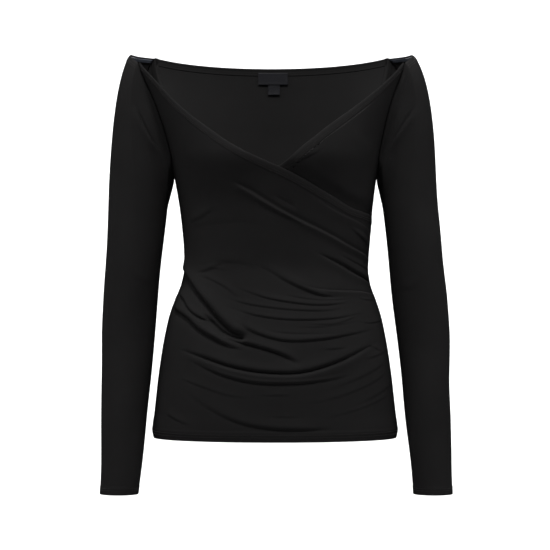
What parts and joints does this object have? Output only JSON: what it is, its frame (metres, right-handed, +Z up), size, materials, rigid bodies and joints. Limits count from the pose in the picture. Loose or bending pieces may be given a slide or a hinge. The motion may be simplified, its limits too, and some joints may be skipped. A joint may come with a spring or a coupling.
{
  "type": "wrap top",
  "caption": "Off-shoulder wrap top in ruched stretch jersey with a deep V neck and long fitted sleeves, filled out as worn and hollow.",
  "frame": {"origin": "midway between the two shoulder tips, level with the top edge", "axes": "+X to the wearer's left, +Y to the back, the front faces -Y, +Z up from cuffs to shoulders"},
  "size_m": [0.4904, 0.2308, 0.6141],
  "materials": {
    "jersey": "soft black stretch jersey with a faint sheen",
    "label": "smooth dark woven label, bare",
    "grip": "glossy dark elastic grip tape"
  },
  "bodies": {
    "root": {"front_over_panel": "jersey", "front_under_panel": "jersey", "back_panel": "jersey", "right_sleeve": "jersey", "left_sleeve": "jersey", "right_grip_tape": "grip", "left_grip_tape": "grip", "neck_label": "label", "size_tab": "label"}
  },
  "joints": []
}
